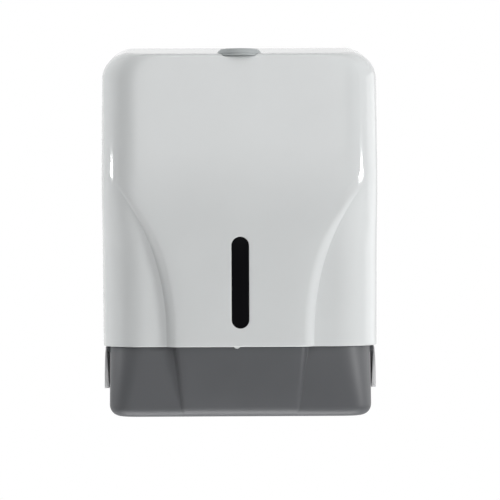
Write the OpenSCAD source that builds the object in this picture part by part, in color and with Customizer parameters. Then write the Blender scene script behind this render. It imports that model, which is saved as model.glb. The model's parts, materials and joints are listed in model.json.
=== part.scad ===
// Wall dispenser for folded tissue: white swing-down cover on a grey back plate and lower tray.
// Lengths in mm. X right, Y into the wall, Z up. The wall plane is Y = 0.
// The origin is the centre of the four wall screws, on the wall plane.
// Heights named _z, _low or _top are measured from the underside of the tray.

/* [Overall] */
// Height from the underside of the tray to the top of the cover
overall_h = 377; // [350:1:400]
// Depth from the wall to the front of the cover
depth = 118; // [110:1:126]
// Width over the cover at its widest
cover_w = 278.5; // [260:0.5:300]

/* [Cover] */
// Height of the lower edge of the cover
cover_low = 70.5; // [66:0.5:76]
// Wall thickness of the cover
cover_wall = 2.6; // [2.2:0.1:3]
// Corner radius of the cover seen from the front
top_corner_r = 29; // [26:1:34]
// Radius of the edge between the front and the sloping top
top_edge_r = 4; // [3:0.5:8]
// Radius of the upright edges
side_edge_r = 36; // [30:1:40]
// Extra radius of the upright edges beside the raised middle
edge_grow = 8; // [4:1:12]
// How far the front leans back at the top
lean = 14; // [10:1:18]
// Height at which the front starts to lean back
lean_from = 190; // [180:1:220]
// Height over which the front bends back before it runs straight
lean_run = 100; // [80:1:120]
// How far the top slopes down towards the front
top_fall = 14; // [12:1:16]
// How much the sides bow out at mid height
bow = 0.6; // [0:0.1:1]

/* [Front panel] */
// Depth of the side panels below the raised middle
recess = 9; // [6:0.5:10]
// Height at which the raised middle has spread to the whole width
recess_top = 240; // [230:1:250]
// Height over which the side panels run out
recess_run = 110; // [90:1:130]
// Half width of the raised middle at the lower edge of the cover
foot_w = 73.5; // [68:0.5:78]
// Extra half width of the raised middle where it has spread
flare = 35; // [30:1:40]
// Height over which the raised middle spreads
flare_run = 140; // [120:1:160]
// Width of the round shoulder beside the raised middle
flank_w = 26; // [20:1:30]

/* [Window] */
// Width of the level window
window_w = 17.5; // [14:0.5:20]
// Height of the level window
window_h = 91.5; // [80:0.5:96]
// Height of the window centre above the lower edge of the cover
window_rise = 64; // [60:0.5:70]

/* [Lock] */
// Radius of the round lock head
knob_r = 21.8; // [19:0.1:22.5]
// Distance of the lock axis from the front of the cover
lock_back = 29; // [28:0.5:32]

/* [Tray] */
// How far the tray stands in from the widest part of the cover on each side
tray_set_in = 7.5; // [6.5:0.25:8.5]
// How far the tray stands back from the front of the cover
tray_inset = 4; // [3:0.5:6]
// Wall thickness of the tray
tray_wall = 2.4; // [2:0.1:2.8]
// Radius of the lower corners seen from the front
tray_corner_r = 12; // [9:1:14]
// Radius of the lower front edge
chin_r = 10; // [8:1:12]
// How far the raised middle runs back at the underside
chin = 9.5; // [6:0.5:11]
// Radius of the upright edges of the tray at its underside
tray_edge_r = 18; // [14:1:20]
// Extra radius of the upright edges of the tray at the lower edge of the cover
tray_edge_grow = 19; // [16:1:22]
// Length of the paper outlet
outlet_l = 156; // [120:1:170]
// Width of the paper outlet
outlet_w = 50; // [40:1:54]
// Distance of the middle of the outlet from the front of the cover
outlet_back = 60; // [56:1:64]

/* [Hinge] */
// Distance of the hinge axis from the wall
hinge_out = 30; // [28:1:34]
// Depth of the hinge axis below the lower edge of the cover
hinge_drop = 39; // [37:0.5:41]
// Radius of the hinge pins
pin_r = 3; // [2.5:0.1:3.5]

/* [Wall mount] */
// Height of the wall screw centre above the underside of the tray
mount_h = 190; // [180:1:200]
// Spacing of the wall screws across
mount_x = 160; // [140:1:180]
// Spacing of the wall screws up and down
mount_z = 200; // [180:1:210]
// Diameter of the wall screw holes
mount_hole_d = 5.5; // [4.5:0.5:6]

/* [Hidden] */
// Overlap where two shapes join into one solid
e = 0.01;
// Reach of a cut past the face it opens
past = 4;

// Back plate, and the rim inside the rear edge of the cover
plate_t = 3;
plate_inset = 4;
plate_top_gap = 3;
plate_low = 12;
seat_gap = 0.6;
cover_back = plate_t + seat_gap;
rim_inset = 1.5;
rim_t = 2;
rim_h = 5;

// Curves of the cover
bow_mid = 220;
bow_run = 140;
flare_power = 2.4;
flank_power = 4;
crease_soft = 0.14;
crease_w = 1.8;
edge_room = 6;
slant = 0.45;
front_in = depth - cover_wall;
inner_shift = 5;
first_row = 11.5;
row_gap = 2;

// Curves of the tray
tray_w = cover_w - 2 * tray_set_in;
tray_step = 4.25;
tray_step_run = 2;
tray_side = tray_w / 2 - tray_step;
tray_lap = 3.4;
tray_top = cover_low + tray_lap;
tray_boss_h = 8;
tray_back = plate_t + tray_boss_h;
tray_foot_w = 57.5;
tray_foot_lean = 0.145;
tray_band_low = 6;
tray_band_grow = 10;
tray_crease_soft = 0.5;
tray_recess_power = 0.8;
outlet_y = -(depth - outlet_back);

// Ties between the tray and the ears, just under the cover
tie_gap = 0.6;
tie_h = 5.8;
tie_d = 4.5;
tie_root = 1.2;
tie_out = 2.4;
tie_lead = 1;
tie_y = -(depth - tray_inset - recess - tray_edge_r - tray_edge_grow) - tie_lead;

// Hinge: ears on the back plate, arms on the cover, pins between them
hinge_y = -hinge_out;
hinge_z = cover_low - hinge_drop;
ear_gap = 1;
ear_r = hinge_drop - ear_gap;
ear_inset = 1.65;
ear_out = cover_w / 2 - ear_inset;
ear_thin = 1.6;
ear_thick = 4.6;
ear_drop = 4;
ear_low = hinge_z - ear_drop;
ear_skin = 1;
ear_boss_r = 4.8;
arm_gap = 0.5;
arm_t = 3;
arm_r = 7;
arm_front = 1;
arm_rear = 8;
arm_foot = 5.5;
lug_in = tray_side + arm_gap;
lug_out = lug_in + arm_t;
arm_rise = 6;
arm_top = cover_low + arm_rise;
boss_gap = 0.4;
pin_gap = 0.08;
// Ledge on the ear that the arm comes down on when the cover is open
open_turn = 85;
ledge_gap = 0.4;
ledge_h = 2;
ledge_from = 16;
ledge_to = 27;
ledge_top = hinge_z - arm_front * sin(open_turn) + ledge_from * cos(open_turn) - ledge_gap;

// Paper side walls, their stop lips and the top shelf
wall_t = 2.4;
wall_rise = 5.5;
wall_low = cover_low + wall_rise;
wall_back = 48;
wall_reach = depth - wall_back;
lip_w = 12;
lip_rise = 25.5;
lip_low = cover_low + lip_rise;
lip_drop = 31;
shelf_drop = 46;
shelf_z = overall_h - shelf_drop;
shelf_t = 2.6;
shelf_back = 58;
shelf_reach = depth - shelf_back;
// Upright runners that keep the paper off the plate
runner_t = 3;
runner_rise = 9.5;
runner_low = cover_low + runner_rise;
runner_mid = 39.5;
runner_in = 18;
runner_x = [runner_mid, tray_side - runner_in];

// Lock axis and the levels of its pieces
lock_y = -(depth - lock_back);
lock_sink = 15.6;
lock_floor = overall_h - lock_sink;
knob_gap = 0.4;
knob_lift = 0.2;
knob_rim = 3.2;
knob_rise = 4.2;
slot_w = 3.2;
slot_l = 11;
slot_front = 2;
slot_floor = 1;
pocket_wall = 2.4;
shaft_r = 8;
shaft_gap = 0.08;
shaft_l = 12.5;
sleeve_r = 11;
tang_r = 5;
cam_top = lock_floor - shaft_l;
cam_t = 3;
cam_hub_r = 9;
cam_w = 9;
cam_l = 22;
washer_t = 0.7;
washer_lift = 1;
cam_screw_r = 1.6;
cam_screw_l = 5;
cam_head_r = 6.4;
cam_head_h = 2.2;

// Keeper on the shelf
keeper_x = 14.5;
keeper_t = 2.5;
keeper_foot_t = 2;
keeper_foot_w = 23.5;
keeper_rear = -14;
keeper_foot_front = -54;
keeper_front = 13;
keeper_back = 6;
keeper_under = 2.6;
keeper_over = 2;

// Stiffening ribs inside the cover
rib_x = 52;
rib_t = 2;
rib_h = 7;
rib_rise = 125.5;
rib_low = cover_low + rib_rise;
rib_drop = 47;
rib_high = overall_h - rib_drop;
top_rib_back = 46;
top_rib_reach = depth - top_rib_back;
top_rib_gap = 3;
top_rib_end = plate_t + rim_h + top_rib_gap;
top_rib_h = 12;

// Window flange and the frame behind it
lens_gap = 0.15;
lens_sink = 0.5;
flange_w = 3.5;
flange_t = 1.6;
frame_w = 3;
frame_t = 3.4;
frame_lap = 0.5;
bar_t = 1.6;
bar_w = 8;
bar_end = 4;
frame_boss_r = 3.4;
frame_boss_h = 5;
window_z = cover_low + window_rise;

// Screws: head radius, head height, shank radius and shank length
tray_screw = [3.8, 2, 1.7, 9];
frame_screw = [2.6, 2, 1.2, 5.8];
keeper_screw = [3.4, 2, 1.5, 9.6];
screw_gap = 0.3;
boss_wall = 3;
pad_r = 9;
pad_h = 2;

// Small mark under the lower edge of the cover
nub_x = -3.5;
nub_r = 3.5;
nub_rise = 1.8;
nub_sink = 0.4;

cover_white = [0.88, 0.89, 0.88];
base_grey = [0.36, 0.36, 0.37];
plate_grey = [0.66, 0.66, 0.67];
smoke = [0.05, 0.05, 0.06];
steel = [0.66, 0.67, 0.69];
lock_grey = [0.55, 0.56, 0.57];

// Screw places: across and up from the window centre, on the tray, and on the shelf
frame_out = 10.25;
frame_in = 9.75;
frame_x = window_w / 2 + frame_out;
frame_z = window_h / 2 - frame_in;
frame_points = [for (x = [-frame_x, frame_x]) for (z = [-frame_z, frame_z]) [x, z]];
tray_screw_in = 31.5;
tray_screw_drop = 14.5;
tray_screw_x = tray_side - tray_screw_in;
tray_screw_low = 22;
tray_screw_top = cover_low - tray_screw_drop;
tray_points = [
  for (x = [-tray_screw_x, tray_screw_x]) for (z = [tray_screw_low, tray_screw_top]) [x, z]
];
keeper_screw_x = 31;
keeper_screw_y = [-22, -46];
keeper_points = [for (y = keeper_screw_y) [keeper_screw_x, y]];
mount_points = [for (x = [-1, 1]) for (z = [-1, 1]) [x * mount_x / 2, mount_h + z * mount_z / 2]];

// Helpers shared by the two moulded shells
function clamp01(u) = max(0, min(1, u));
function ease(u) = let (c = clamp01(u)) c * c * (3 - 2 * c);
function drop(t, r) = t >= r ? 0 : r - sqrt(max(0, r * r - (r - t) * (r - t)));

// Fall of a round shoulder that ends in a soft crease: 0 at its crest, 1 beyond its foot
function crease(u, soft) =
  let (fall = pow(max(0, u), flank_power), near = max(0, soft - abs(fall - 1)))
    min(fall, 1) - near * near / (4 * soft);

// Heights that follow a rounded edge of radius r, from its end inwards
function round_rows(r, n) = [for (i = [0:n]) r * (1 - cos(90 * i / n))];
function even_rows(from, to, n) = [for (i = [1:n]) from + (to - from) * i / n];

// Whole ring from its right half and the point in the middle of the front
function mirrored(right, middle) =
  let (n = len(right))
    concat(
      [for (i = [n - 1:-1:0]) right[i]],
      [middle],
      [for (p = right) [-p[0], p[1]]]
    );

// Solid through a stack of closed rings of equal length
module loft(rings) {
  n = len(rings);
  m = len(rings[0]);
  pts = [for (ring = rings) for (p = ring) p];
  sides = [
    for (i = [0:n - 2]) for (j = [0:m - 1])
      let (k = (j + 1) % m)
        each [[i * m + j, i * m + k, (i + 1) * m + k], [i * m + j, (i + 1) * m + k, (i + 1) * m + j]]
  ];
  low = [for (j = [0:m - 1]) m - 1 - j];
  high = [for (j = [0:m - 1]) (n - 1) * m + j];
  polyhedron(points = pts, faces = concat([low], sides, [high]));
}

// Distance of a place x from the middle, measured over the front and its rounded upright edge
function along_front(x, end, r) = x <= end ? x : end + r * asin((x - end) / r) * PI / 180;

// Places over one half of a front: x, and how far the rounded upright edge has fallen there
function across(half, r, foot, band) =
  let (
    end = half - r,
    low = min(foot, half - edge_room),
    crest = along_front(low - band, end, r),
    fold = along_front(low, end, r),
    stops = concat(
      even_rows(0, crest, 2),
      even_rows(crest, fold - crease_w, 5),
      even_rows(fold - crease_w, fold + crease_w, 3),
      even_rows(fold + crease_w, end + r * PI / 2, 8)
    )
  )
    [
      for (q = stops)
        let (turn = max(0, q - end) / r * 180 / PI) [min(q, end) + r * sin(turn), r * (1 - cos(turn))]
    ];

// Cover: k is the inset from the outer face, h the height of a ring at its rear edge
function lean_share(h) =
  let (
    rise = max(0, h - lean_from),
    bent = rise < lean_run ? rise * rise / (2 * lean_run) : rise - lean_run / 2
  )
    bent / (overall_h - lean_from - lean_run / 2);
function cover_half(h, k) =
  cover_w / 2 - bow * pow((h - bow_mid) / bow_run, 2) - k - drop(overall_h - k - h, top_corner_r - k);
function cover_depth(h, k) =
  depth - k - lean * lean_share(h) - drop(overall_h - k - h, top_edge_r - k);
function cover_fall(h) = top_fall / (depth - lean) * lean_share(h);
function recess_share(h) = ease((recess_top - h) / recess_run);
function cover_foot(h, k) =
  foot_w - slant * k + flare * pow(max(0, h - cover_low) / flare_run, flare_power);
function cover_edge(h, k) = side_edge_r - k + edge_grow * recess_share(h);

function cover_right(h, k, back) =
  let (
    half = cover_half(h, k),
    foot = cover_foot(h, k),
    sunk = recess * recess_share(h),
    places = across(half, cover_edge(h, k), foot, flank_w)
  )
    concat(
      [
        for (p = places)
          [p[0], p[1] + sunk * crease((p[0] - foot + flank_w) / flank_w, crease_soft) - cover_depth(h, k)]
      ],
      [[half, back]]
    );

function cover_ring(h, k, back) =
  let (fall = cover_fall(h), whole = mirrored(cover_right(h, k, back), [0, -cover_depth(h, k)]))
    [for (p = whole) [p[0], p[1], h - mount_h + fall * (p[1] + cover_back)]];

function cover_rows(top, low, shift) =
  let (
    first = cover_low + first_row,
    spread = recess_top - row_gap,
    shoulder = overall_h - top_corner_r - row_gap
  )
    concat(
      [low],
      [for (h = concat([first], even_rows(first, spread, 13), even_rows(spread, shoulder, 5))) h - shift],
      [for (i = [13:-1:0]) top - round_rows(top_corner_r, 13)[i]]
    );

module cover_outer() {
  rows = cover_rows(overall_h, cover_low, 0);
  loft([for (h = rows) cover_ring(h, 0, -cover_back)]);
}

module cover_inner() {
  rows = cover_rows(overall_h - cover_wall, cover_low - 2 * past, inner_shift);
  loft([for (h = rows) cover_ring(h, cover_wall, past)]);
}

// Tray: h is the height above its underside
function tray_half(h, k) = tray_w / 2 - k - drop(h - k, tray_corner_r - k);
function tray_depth(h, k) =
  depth - tray_inset - k - chin * pow(max(0, cover_low - h) / cover_low, 2) - drop(h - k, chin_r - k);
function tray_foot(h, k) = tray_foot_w + tray_foot_lean * h - slant * k;
function tray_band(h) = tray_band_low + tray_band_grow * clamp01(h / cover_low);
function tray_edge(h, k) = tray_edge_r - k + tray_edge_grow * clamp01(h / cover_low);

function tray_right(h, k, back) =
  let (
    half = tray_half(h, k),
    r = tray_edge(h, k),
    foot = tray_foot(h, k),
    band = tray_band(h),
    deep = tray_depth(h, k),
    sunk = recess * pow(clamp01(h / cover_low), tray_recess_power),
    side = half - tray_step
  )
    concat(
      [
        for (p = across(half, r, foot, band))
          [p[0], p[1] + sunk * crease((p[0] - foot + band) / band, tray_crease_soft) - deep]
      ],
      [[side, r + sunk - deep + tray_step_run], [side, back]]
    );

function tray_ring(h, k, back) =
  let (whole = mirrored(tray_right(h, k, back), [0, -tray_depth(h, k)]))
    [for (p = whole) [p[0], p[1], h - mount_h]];

module tray_outer() {
  rows = concat(round_rows(tray_corner_r, 9), even_rows(tray_corner_r, tray_top, 8));
  loft([for (h = rows) tray_ring(h, 0, -tray_back)]);
}

module tray_inner() {
  w = tray_wall;
  low = [for (t = round_rows(tray_corner_r - w, 7)) w + t];
  rows = concat(low, even_rows(tray_corner_r, tray_top + past, 8));
  loft([for (h = rows) tray_ring(h, w, -tray_back - w)]);
}

// Small exact shapes
module along_x(x0, x1, y, z, r) {
  translate([x0, y, z - mount_h]) rotate([0, 90, 0]) cylinder(r = r, h = x1 - x0, $fn = 48);
}

module along_y(x, y0, y1, z, r) {
  translate([x, y1, z - mount_h]) rotate([90, 0, 0]) cylinder(r = r, h = y1 - y0, $fn = 48);
}

module along_z(x, y, z0, z1, r) {
  translate([x, y, z0 - mount_h]) cylinder(r = r, h = z1 - z0, $fn = 64);
}

module block(x0, x1, y0, y1, z0, z1) {
  translate([x0, y0, z0 - mount_h]) cube([x1 - x0, y1 - y0, z1 - z0]);
}

// Outline drawn in X and height, pushed out towards the front between two depths
module upright(y0, y1) {
  translate([0, y1, -mount_h]) rotate([90, 0, 0]) linear_extrude(y1 - y0) children();
}

// Upright slot shape, long in Z, between two depths
module slot_y(y0, y1, w, h, z) {
  block(-w / 2, w / 2, y0, y1, z - h / 2 + w / 2, z + h / 2 - w / 2);
  along_y(0, y0, y1, z - h / 2 + w / 2, w / 2);
  along_y(0, y0, y1, z + h / 2 - w / 2, w / 2);
}

module both_sides() {
  children();
  mirror([1, 0, 0]) children();
}

// Screw with its head towards the front, seated at y
module screw_y(x, y, z, size) {
  along_y(x, y - size[1], y, z, size[0]);
  along_y(x, y - e, y + size[3], z, size[2]);
}

// White front cover with lock pocket, hinge arms and window
module front_cover() {
  color(cover_white) {
    difference() {
      cover_outer();
      difference() {
        cover_inner();
        cover_inside();
      }
      along_z(0, lock_y, lock_floor, overall_h + knob_r, knob_r + knob_gap);
      along_z(0, lock_y, cam_top - past, lock_floor + e, shaft_r + shaft_gap);
      slot_y(-depth - past, -front_in + past, window_w, window_h, window_z);
      for (p = frame_points)
        along_y(p[0], -front_in - e, -front_in + frame_boss_h + past, window_z + p[1], frame_screw[2]);
    }
    both_sides() hinge_arm();
    along_y(nub_x, -depth + nub_sink, -front_in - e, cover_low + nub_rise, nub_r);
  }
}

// What stands on the inner face of the cover: lock pocket and sleeve, ribs and frame bosses
module cover_inside() {
  along_z(0, lock_y, lock_floor - cover_wall, overall_h + knob_r, knob_r + knob_gap + pocket_wall);
  along_z(0, lock_y, cam_top + washer_lift, overall_h, sleeve_r);
  for (x = [-rib_x, rib_x]) {
    block(x - rib_t / 2, x + rib_t / 2, -depth - past, -front_in + rib_h, rib_low, rib_high);
    block(x - rib_t / 2, x + rib_t / 2, -top_rib_reach, -top_rib_end,
      overall_h - top_rib_h, overall_h + past);
  }
  for (p = frame_points)
    along_y(p[0], -depth, -front_in + frame_boss_h, window_z + p[1], frame_boss_r);
}

// Arm that carries the cover on its hinge pin
module hinge_arm() {
  difference() {
    union() {
      along_x(lug_in, lug_out, hinge_y, hinge_z, arm_r);
      block(lug_in, lug_out, hinge_y - arm_front, hinge_y + arm_rear, hinge_z, arm_top);
      block(lug_in, cover_w / 2 - cover_wall, hinge_y - arm_front, hinge_y + arm_rear,
        arm_top - arm_foot, arm_top);
    }
    along_x(lug_in - past, lug_out + past, hinge_y, hinge_z, pin_r + pin_gap);
  }
}

// Grey back plate with paper walls, top shelf, hinge ears and wall holes
module back_plate() {
  color(plate_grey)
    difference() {
      union() {
        plate();
        paper_walls();
        both_sides() hinge_ear();
        for (p = tray_points) along_y(p[0], -tray_back, -plate_t + e, p[1], tray_screw[2] + boss_wall);
        for (p = mount_points) along_y(p[0], -plate_t - pad_h, -plate_t + e, p[1], pad_r);
        for (p = keeper_points)
          along_z(p[0], p[1], shelf_z - tray_boss_h, shelf_z + e, keeper_screw[2] + boss_wall);
      }
      both_sides() along_x(lug_out, ear_out - ear_skin, hinge_y, hinge_z, pin_r);
      for (p = tray_points) along_y(p[0], -tray_back - past, -plate_t - screw_gap, p[1], tray_screw[2]);
      for (p = mount_points) along_y(p[0], -plate_t - pad_h - past, past, p[1], mount_hole_d / 2);
      for (p = keeper_points)
        along_z(p[0], p[1], shelf_z - tray_boss_h + screw_gap, shelf_z + shelf_t + past, keeper_screw[2]);
    }
}

// Outline of the plate with the rounded top corners of the cover, drawn in X and height
module plate_shape(inset, low) {
  r = top_corner_r - plate_top_gap - inset;
  half = cover_w / 2 - plate_inset - inset;
  top = overall_h - plate_top_gap - inset;
  translate([-half, low]) square([2 * half, top - r - low]);
  translate([r - half, top - r - e]) square([2 * (half - r), r + e]);
  for (x = [r - half, half - r]) translate([x, top - r]) circle(r = r, $fn = 96);
}

// Flat rear plate, its narrower foot behind the tray and the rim that the cover slips over
module plate() {
  half = cover_w / 2 - plate_inset;
  foot = tray_side - ear_boss_r;
  upright(-plate_t, 0) plate_shape(0, ear_low);
  block(-foot, foot, -plate_t, 0, plate_low, ear_low + e);
  both_sides() block(half - e, ear_out, -plate_t, 0, ear_low, hinge_z + ear_r);
  upright(-plate_t - rim_h, -plate_t + e)
    difference() {
      plate_shape(rim_inset, arm_top);
      plate_shape(rim_inset + rim_t, arm_top - past);
    }
}

// Side walls with stop lips, top shelf and runners that hold the folded stack
module paper_walls() {
  both_sides() {
    block(tray_side - wall_t, tray_side, -wall_reach, -plate_t + e, wall_low, shelf_z + shelf_t);
    block(tray_side - lip_w, tray_side, -wall_reach, -wall_reach + wall_t, lip_low, shelf_z - lip_drop);
    for (x = runner_x)
      block(x - runner_t / 2, x + runner_t / 2, -tray_back, -plate_t + e, runner_low, shelf_z + e);
  }
  block(-tray_side, tray_side, -shelf_reach, -plate_t + e, shelf_z, shelf_z + shelf_t);
}

// Side ear, thicker towards its lower end, with the boss of the hinge pin and the stop ledge
module hinge_ear() {
  top = hinge_z + ear_r;
  wedge = [
    [ear_out, ear_low], [ear_out, top], [ear_out - ear_thin, top], [ear_out - ear_thick, ear_low]
  ];
  intersection() {
    upright(hinge_y - ear_r, -plate_t + e) polygon(wedge);
    union() {
      along_x(ear_out - 2 * ear_thick, ear_out + past, hinge_y, hinge_z, ear_r);
      block(ear_out - 2 * ear_thick, ear_out + past, hinge_y, 0, ear_low - past, top + past);
    }
  }
  along_x(lug_out + boss_gap, ear_out - ear_skin, hinge_y, hinge_z, ear_boss_r);
  block(lug_in + boss_gap, ear_out - ear_skin, hinge_y - ledge_to, hinge_y - ledge_from,
    ledge_top - ledge_h, ledge_top);
}

// Grey tray with the paper outlet in its underside
module lower_tray() {
  reach = outlet_l / 2 - outlet_w / 2;
  color(base_grey) {
    difference() {
      tray_outer();
      tray_inner();
      block(-reach, reach, outlet_y - outlet_w / 2, outlet_y + outlet_w / 2, -past, tray_wall + past);
      both_sides() along_z(reach, outlet_y, -past, tray_wall + past, outlet_w / 2);
      for (p = tray_points)
        along_y(p[0], -tray_back - tray_wall - past, 0, p[1], tray_screw[2] + screw_gap);
    }
    both_sides()
      block(tray_w / 2 - tie_root, tray_w / 2 + tie_out, tie_y - tie_d, tie_y,
        cover_low - tie_gap - tie_h, cover_low - tie_gap);
  }
}

module tray_screws() {
  color(steel) for (p = tray_points) screw_y(p[0], -tray_back - tray_wall, p[1], tray_screw);
}

module frame_screws() {
  seat = front_in - frame_boss_h - bar_t;
  color(steel) for (p = frame_points) mirror([0, 1, 0]) screw_y(p[0], seat, window_z + p[1], frame_screw);
}

module keeper_screws() {
  seat = shelf_z + shelf_t + keeper_foot_t;
  color(steel) for (p = keeper_points) {
    along_z(p[0], p[1], seat, seat + keeper_screw[1], keeper_screw[0]);
    along_z(p[0], p[1], seat - keeper_screw[3], seat + e, keeper_screw[2]);
  }
}

module hinge_pin_right() {
  color(steel) along_x(lug_in, ear_out - ear_skin, hinge_y, hinge_z, pin_r);
}

module hinge_pin_left() {
  mirror([1, 0, 0]) hinge_pin_right();
}

// Smoked window plug with a flange behind the cover wall
module window_lens() {
  w = window_w - 2 * lens_gap;
  h = window_h - 2 * lens_gap;
  color(smoke) {
    slot_y(-depth + lens_sink, -front_in + e, w, h, window_z);
    slot_y(-front_in, -front_in + flange_t, window_w + 2 * flange_w, window_h + 2 * flange_w, window_z);
  }
}

// Frame that clamps the window flange from inside, held at the ends of two cross bars
module window_frame() {
  y0 = -front_in + flange_t;
  y1 = y0 + frame_t;
  color(cover_white)
    difference() {
      union() {
        slot_y(y0, y1, window_w + 2 * frame_w, window_h + 2 * frame_w, window_z);
        for (z = [-frame_z, frame_z])
          block(-frame_x - bar_end, frame_x + bar_end, y1 - e, y1 + bar_t,
            window_z + z - bar_w / 2, window_z + z + bar_w / 2);
      }
      slot_y(y0 - past, y1 + past, window_w - 2 * frame_lap, window_h - 2 * frame_lap, window_z);
      for (p = frame_points) along_y(p[0], y0, y1 + past, window_z + p[1], frame_screw[2] + screw_gap);
    }
}

// Round lock head with a rounded shoulder, a key slot and a stepped shaft
module lock_knob() {
  rim = lock_floor + knob_rim;
  color(lock_grey)
    difference() {
      union() {
        along_z(0, lock_y, lock_floor + knob_lift, rim, knob_r);
        along_z(0, lock_y, cam_top, lock_floor + knob_lift + e, shaft_r);
        along_z(0, lock_y, cam_top - cam_t, cam_top + e, tang_r);
        translate([0, lock_y, rim - mount_h])
          rotate_extrude($fn = 96) {
            translate([0, -e]) square([knob_r - knob_rise, knob_rise + e]);
            intersection() {
              translate([knob_r - knob_rise, 0]) circle(r = knob_rise, $fn = 96);
              translate([0, -e]) square([knob_r, knob_rise + e]);
            }
          }
      }
      block(-slot_w / 2, slot_w / 2, lock_y - slot_front, lock_y + slot_l - slot_front,
        rim + slot_floor, rim + knob_rise + past);
      along_z(0, lock_y, cam_top - cam_t - past, cam_top + cam_screw_l + washer_lift, cam_screw_r);
    }
}

module lock_washer() {
  color(steel)
    difference() {
      along_z(0, lock_y, cam_top, cam_top + washer_t, sleeve_r);
      along_z(0, lock_y, cam_top - past, cam_top + past, shaft_r);
    }
}

// Flat cam, pointing to the wall when unlocked
module lock_cam() {
  low = cam_top - cam_t;
  color(steel)
    difference() {
      union() {
        along_z(0, lock_y, low, cam_top, cam_hub_r);
        block(-cam_w / 2, cam_w / 2, lock_y, lock_y + cam_l, low, cam_top);
        along_z(0, lock_y + cam_l, low, cam_top, cam_w / 2);
      }
      along_z(0, lock_y, low - past, cam_top + past, tang_r);
    }
}

module cam_screw() {
  low = cam_top - cam_t;
  color(steel) {
    along_z(0, lock_y, low - cam_head_h, low, cam_head_r);
    along_z(0, lock_y, low - e, cam_top + cam_screw_l, cam_screw_r);
  }
}

// Steel keeper: foot on the shelf, arm to the front, finger that stops the cam
module lock_keeper() {
  foot = shelf_z + shelf_t;
  x1 = keeper_x + keeper_t;
  color(steel)
    difference() {
      union() {
        block(keeper_x, keeper_x + keeper_foot_w, keeper_foot_front, keeper_rear,
          foot, foot + keeper_foot_t);
        block(keeper_x, x1, lock_y - keeper_front, keeper_rear, foot, cam_top - cam_t - keeper_under);
        block(keeper_x, x1, lock_y - keeper_front, lock_y - keeper_back, foot, cam_top + keeper_over);
      }
      for (p = keeper_points)
        along_z(p[0], p[1], foot - past, foot + keeper_foot_t + past, keeper_screw[2] + screw_gap);
    }
}

back_plate();
lower_tray();
tray_screws();
hinge_pin_left();
hinge_pin_right();
front_cover();
window_lens();
window_frame();
frame_screws();
lock_knob();
lock_washer();
lock_cam();
cam_screw();
lock_keeper();
keeper_screws();
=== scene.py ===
"""Looks for the folded tissue wall dispenser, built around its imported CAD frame.

Lengths are in millimetres until a mesh is made. Heights are measured from the underside of the tray.
"""

import json
import math

import bmesh
import bpy
from mathutils import Matrix, Vector


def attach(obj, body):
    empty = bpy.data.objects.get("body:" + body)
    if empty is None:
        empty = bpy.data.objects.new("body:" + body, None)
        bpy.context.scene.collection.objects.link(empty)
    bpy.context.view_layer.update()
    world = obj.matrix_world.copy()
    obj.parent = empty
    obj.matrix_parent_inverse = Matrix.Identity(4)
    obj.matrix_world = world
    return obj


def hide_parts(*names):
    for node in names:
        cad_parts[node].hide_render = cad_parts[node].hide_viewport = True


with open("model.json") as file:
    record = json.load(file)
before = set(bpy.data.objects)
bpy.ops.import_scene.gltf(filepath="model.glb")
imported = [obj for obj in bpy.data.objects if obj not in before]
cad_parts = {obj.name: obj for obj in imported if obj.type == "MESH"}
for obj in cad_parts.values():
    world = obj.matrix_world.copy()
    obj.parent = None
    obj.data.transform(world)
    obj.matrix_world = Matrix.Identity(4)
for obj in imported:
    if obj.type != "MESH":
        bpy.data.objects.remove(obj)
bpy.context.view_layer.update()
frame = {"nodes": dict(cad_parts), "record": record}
nodes = frame["nodes"]
record = frame["record"]
BODY_OF = {n: body for body, members in record["behaviour"]["bodies"].items() for n in members}
SLOT_OF = {part["node"]: part["material_slot"] for part in record["subparts"]}
MM = 0.001
X, Y, Z = 0, 1, 2

# Softened copies: faces above this area in square mm are shaded flat, and angles are in degrees
FLAT_AREA = 400.0
MERGE_ANGLE = 0.5
SHARP_ANGLE = 35
SOFT_SMOOTH = 40

# How far a cutter reaches past a face, and past a thin one
PAST = 4.0
MARGIN = 1

# Fineness: points on the panel, its shoulder, its crease and the rounded side, and steps of round edges
SPREAD = (4, 6, 4, 13)
SIDE_ROWS = 6
LIP_STEPS = 5
CORNER_STEPS = 26

# Sizes of the part
OVERALL_H = 377.0
DEPTH = 118.0
MOUNT_H = 190.0

# Cover
COVER_W = 278.5
COVER_LOW = 70.5
COVER_WALL = 2.6
COVER_BACK = 3.6
TOP_CORNER_R = 29.0
TOP_EDGE_R = 4.0
SIDE_EDGE_R = 36.0
EDGE_GROW = 8.0
LEAN = 14.0
LEAN_FROM = 190.0
LEAN_RUN = 100.0
TOP_FALL = 14.0
BOW = 0.6
BOW_MID = 220.0
BOW_RUN = 140.0
FRONT_IN = DEPTH - COVER_WALL
COVER_LIP = 0.9
INNER_DROP = (-6, -0.2)
INNER_SHIFT = 1.7
FIRST_ROWS = (3, 7)
ROWS_FROM = 12
ROWS_TO = 330
ROW_GAP = 5
ROW_MIN = 1

# Ribs and the small mark on the cover
RIB_X = 52
RIB_HALF = 1
RIB_H = 7
RIB_LOW = 196
RIB_HIGH = 330
TOP_RIB_FRONT = -72
TOP_RIB_END = -11
TOP_RIB_H = 12
NUB_X = -3.5
NUB_R = 3.5
NUB_RISE = 1.8
NUB_SINK = 0.4
NUB_T = 2

# Raised front panel
RECESS = 9.0
RECESS_TOP = 240.0
RECESS_RUN = 80.0
FOOT_W = 73.5
FLARE = 35.0
FLARE_RUN = 140.0
FLARE_POWER = 2.4
FLANK_W = 26.0
FLANK_POWER = 2.2
FLANK_KEEP = 0.5
CREASE_W = 3.0
CREASE_SOFT = 0.05
SHOULDER = 0.25
WALL_SHARE = 0.42
EDGE_ROOM = 6.0
SLANT = 0.45

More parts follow.
